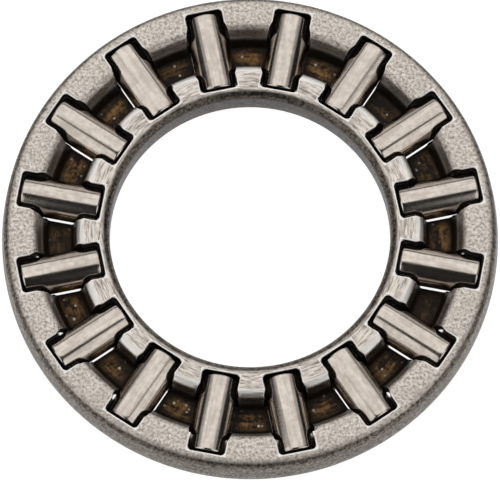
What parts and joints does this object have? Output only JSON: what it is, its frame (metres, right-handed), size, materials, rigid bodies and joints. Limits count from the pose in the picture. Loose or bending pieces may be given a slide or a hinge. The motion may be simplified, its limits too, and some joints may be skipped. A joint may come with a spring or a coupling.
{
  "type": "axial needle roller and cage assembly",
  "caption": "Flat ring bearing for thrust: polished needle rollers spin in the radial pockets of a pressed steel cage, around a shaft and between two raceways.",
  "frame": {"origin": "on the bearing's axis, halfway through the rollers", "axes": "+Z along the axis, out of the face with the cage's flat lands; +X midway between two rollers"},
  "size_m": [0.0252, 0.0252, 0.002],
  "materials": {
    "cage": "matte, tumbled pressed sheet",
    "roller": "ground and polished"
  },
  "bodies": {
    "cage": {"cage": "cage"},
    "roller_01": {"roller_01": "roller"},
    "roller_02": {"roller_02": "roller"},
    "roller_03": {"roller_03": "roller"},
    "roller_04": {"roller_04": "roller"},
    "roller_05": {"roller_05": "roller"},
    "roller_06": {"roller_06": "roller"},
    "roller_07": {"roller_07": "roller"},
    "roller_08": {"roller_08": "roller"},
    "roller_09": {"roller_09": "roller"},
    "roller_10": {"roller_10": "roller"},
    "roller_11": {"roller_11": "roller"},
    "roller_12": {"roller_12": "roller"},
    "roller_13": {"roller_13": "roller"},
    "roller_14": {"roller_14": "roller"},
    "roller_15": {"roller_15": "roller"},
    "roller_16": {"roller_16": "roller"}
  },
  "joints": [
    {"name": "roller_01_spin", "type": "hinge", "parent": "cage", "child": "roller_01", "pos_m": [0.00962, 0.00191, 0], "axis": [0.9808, 0.1951, 0], "continuous": true},
    {"name": "roller_02_spin", "type": "hinge", "parent": "cage", "child": "roller_02", "pos_m": [0.00815, 0.00545, 0], "axis": [0.8315, 0.5556, 0], "continuous": true},
    {"name": "roller_03_spin", "type": "hinge", "parent": "cage", "child": "roller_03", "pos_m": [0.00545, 0.00815, 0], "axis": [0.5556, 0.8315, 0], "continuous": true},
    {"name": "roller_04_spin", "type": "hinge", "parent": "cage", "child": "roller_04", "pos_m": [0.00191, 0.00962, 0], "axis": [0.1951, 0.9808, 0], "continuous": true},
    {"name": "roller_05_spin", "type": "hinge", "parent": "cage", "child": "roller_05", "pos_m": [-0.00191, 0.00962, 0], "axis": [-0.1951, 0.9808, 0], "continuous": true},
    {"name": "roller_06_spin", "type": "hinge", "parent": "cage", "child": "roller_06", "pos_m": [-0.00545, 0.00815, 0], "axis": [-0.5556, 0.8315, 0], "continuous": true},
    {"name": "roller_07_spin", "type": "hinge", "parent": "cage", "child": "roller_07", "pos_m": [-0.00815, 0.00545, 0], "axis": [-0.8315, 0.5556, 0], "continuous": true},
    {"name": "roller_08_spin", "type": "hinge", "parent": "cage", "child": "roller_08", "pos_m": [-0.00962, 0.00191, 0], "axis": [-0.9808, 0.1951, 0], "continuous": true},
    {"name": "roller_09_spin", "type": "hinge", "parent": "cage", "child": "roller_09", "pos_m": [-0.00962, -0.00191, 0], "axis": [-0.9808, -0.1951, 0], "continuous": true},
    {"name": "roller_10_spin", "type": "hinge", "parent": "cage", "child": "roller_10", "pos_m": [-0.00815, -0.00545, 0], "axis": [-0.8315, -0.5556, 0], "continuous": true},
    {"name": "roller_11_spin", "type": "hinge", "parent": "cage", "child": "roller_11", "pos_m": [-0.00545, -0.00815, 0], "axis": [-0.5556, -0.8315, 0], "continuous": true},
    {"name": "roller_12_spin", "type": "hinge", "parent": "cage", "child": "roller_12", "pos_m": [-0.00191, -0.00962, 0], "axis": [-0.1951, -0.9808, 0], "continuous": true},
    {"name": "roller_13_spin", "type": "hinge", "parent": "cage", "child": "roller_13", "pos_m": [0.00191, -0.00962, 0], "axis": [0.1951, -0.9808, 0], "continuous": true},
    {"name": "roller_14_spin", "type": "hinge", "parent": "cage", "child": "roller_14", "pos_m": [0.00545, -0.00815, 0], "axis": [0.5556, -0.8315, 0], "continuous": true},
    {"name": "roller_15_spin", "type": "hinge", "parent": "cage", "child": "roller_15", "pos_m": [0.00815, -0.00545, 0], "axis": [0.8315, -0.5556, 0], "continuous": true},
    {"name": "roller_16_spin", "type": "hinge", "parent": "cage", "child": "roller_16", "pos_m": [0.00962, -0.00191, 0], "axis": [0.9808, -0.1951, 0], "continuous": true}
  ]
}
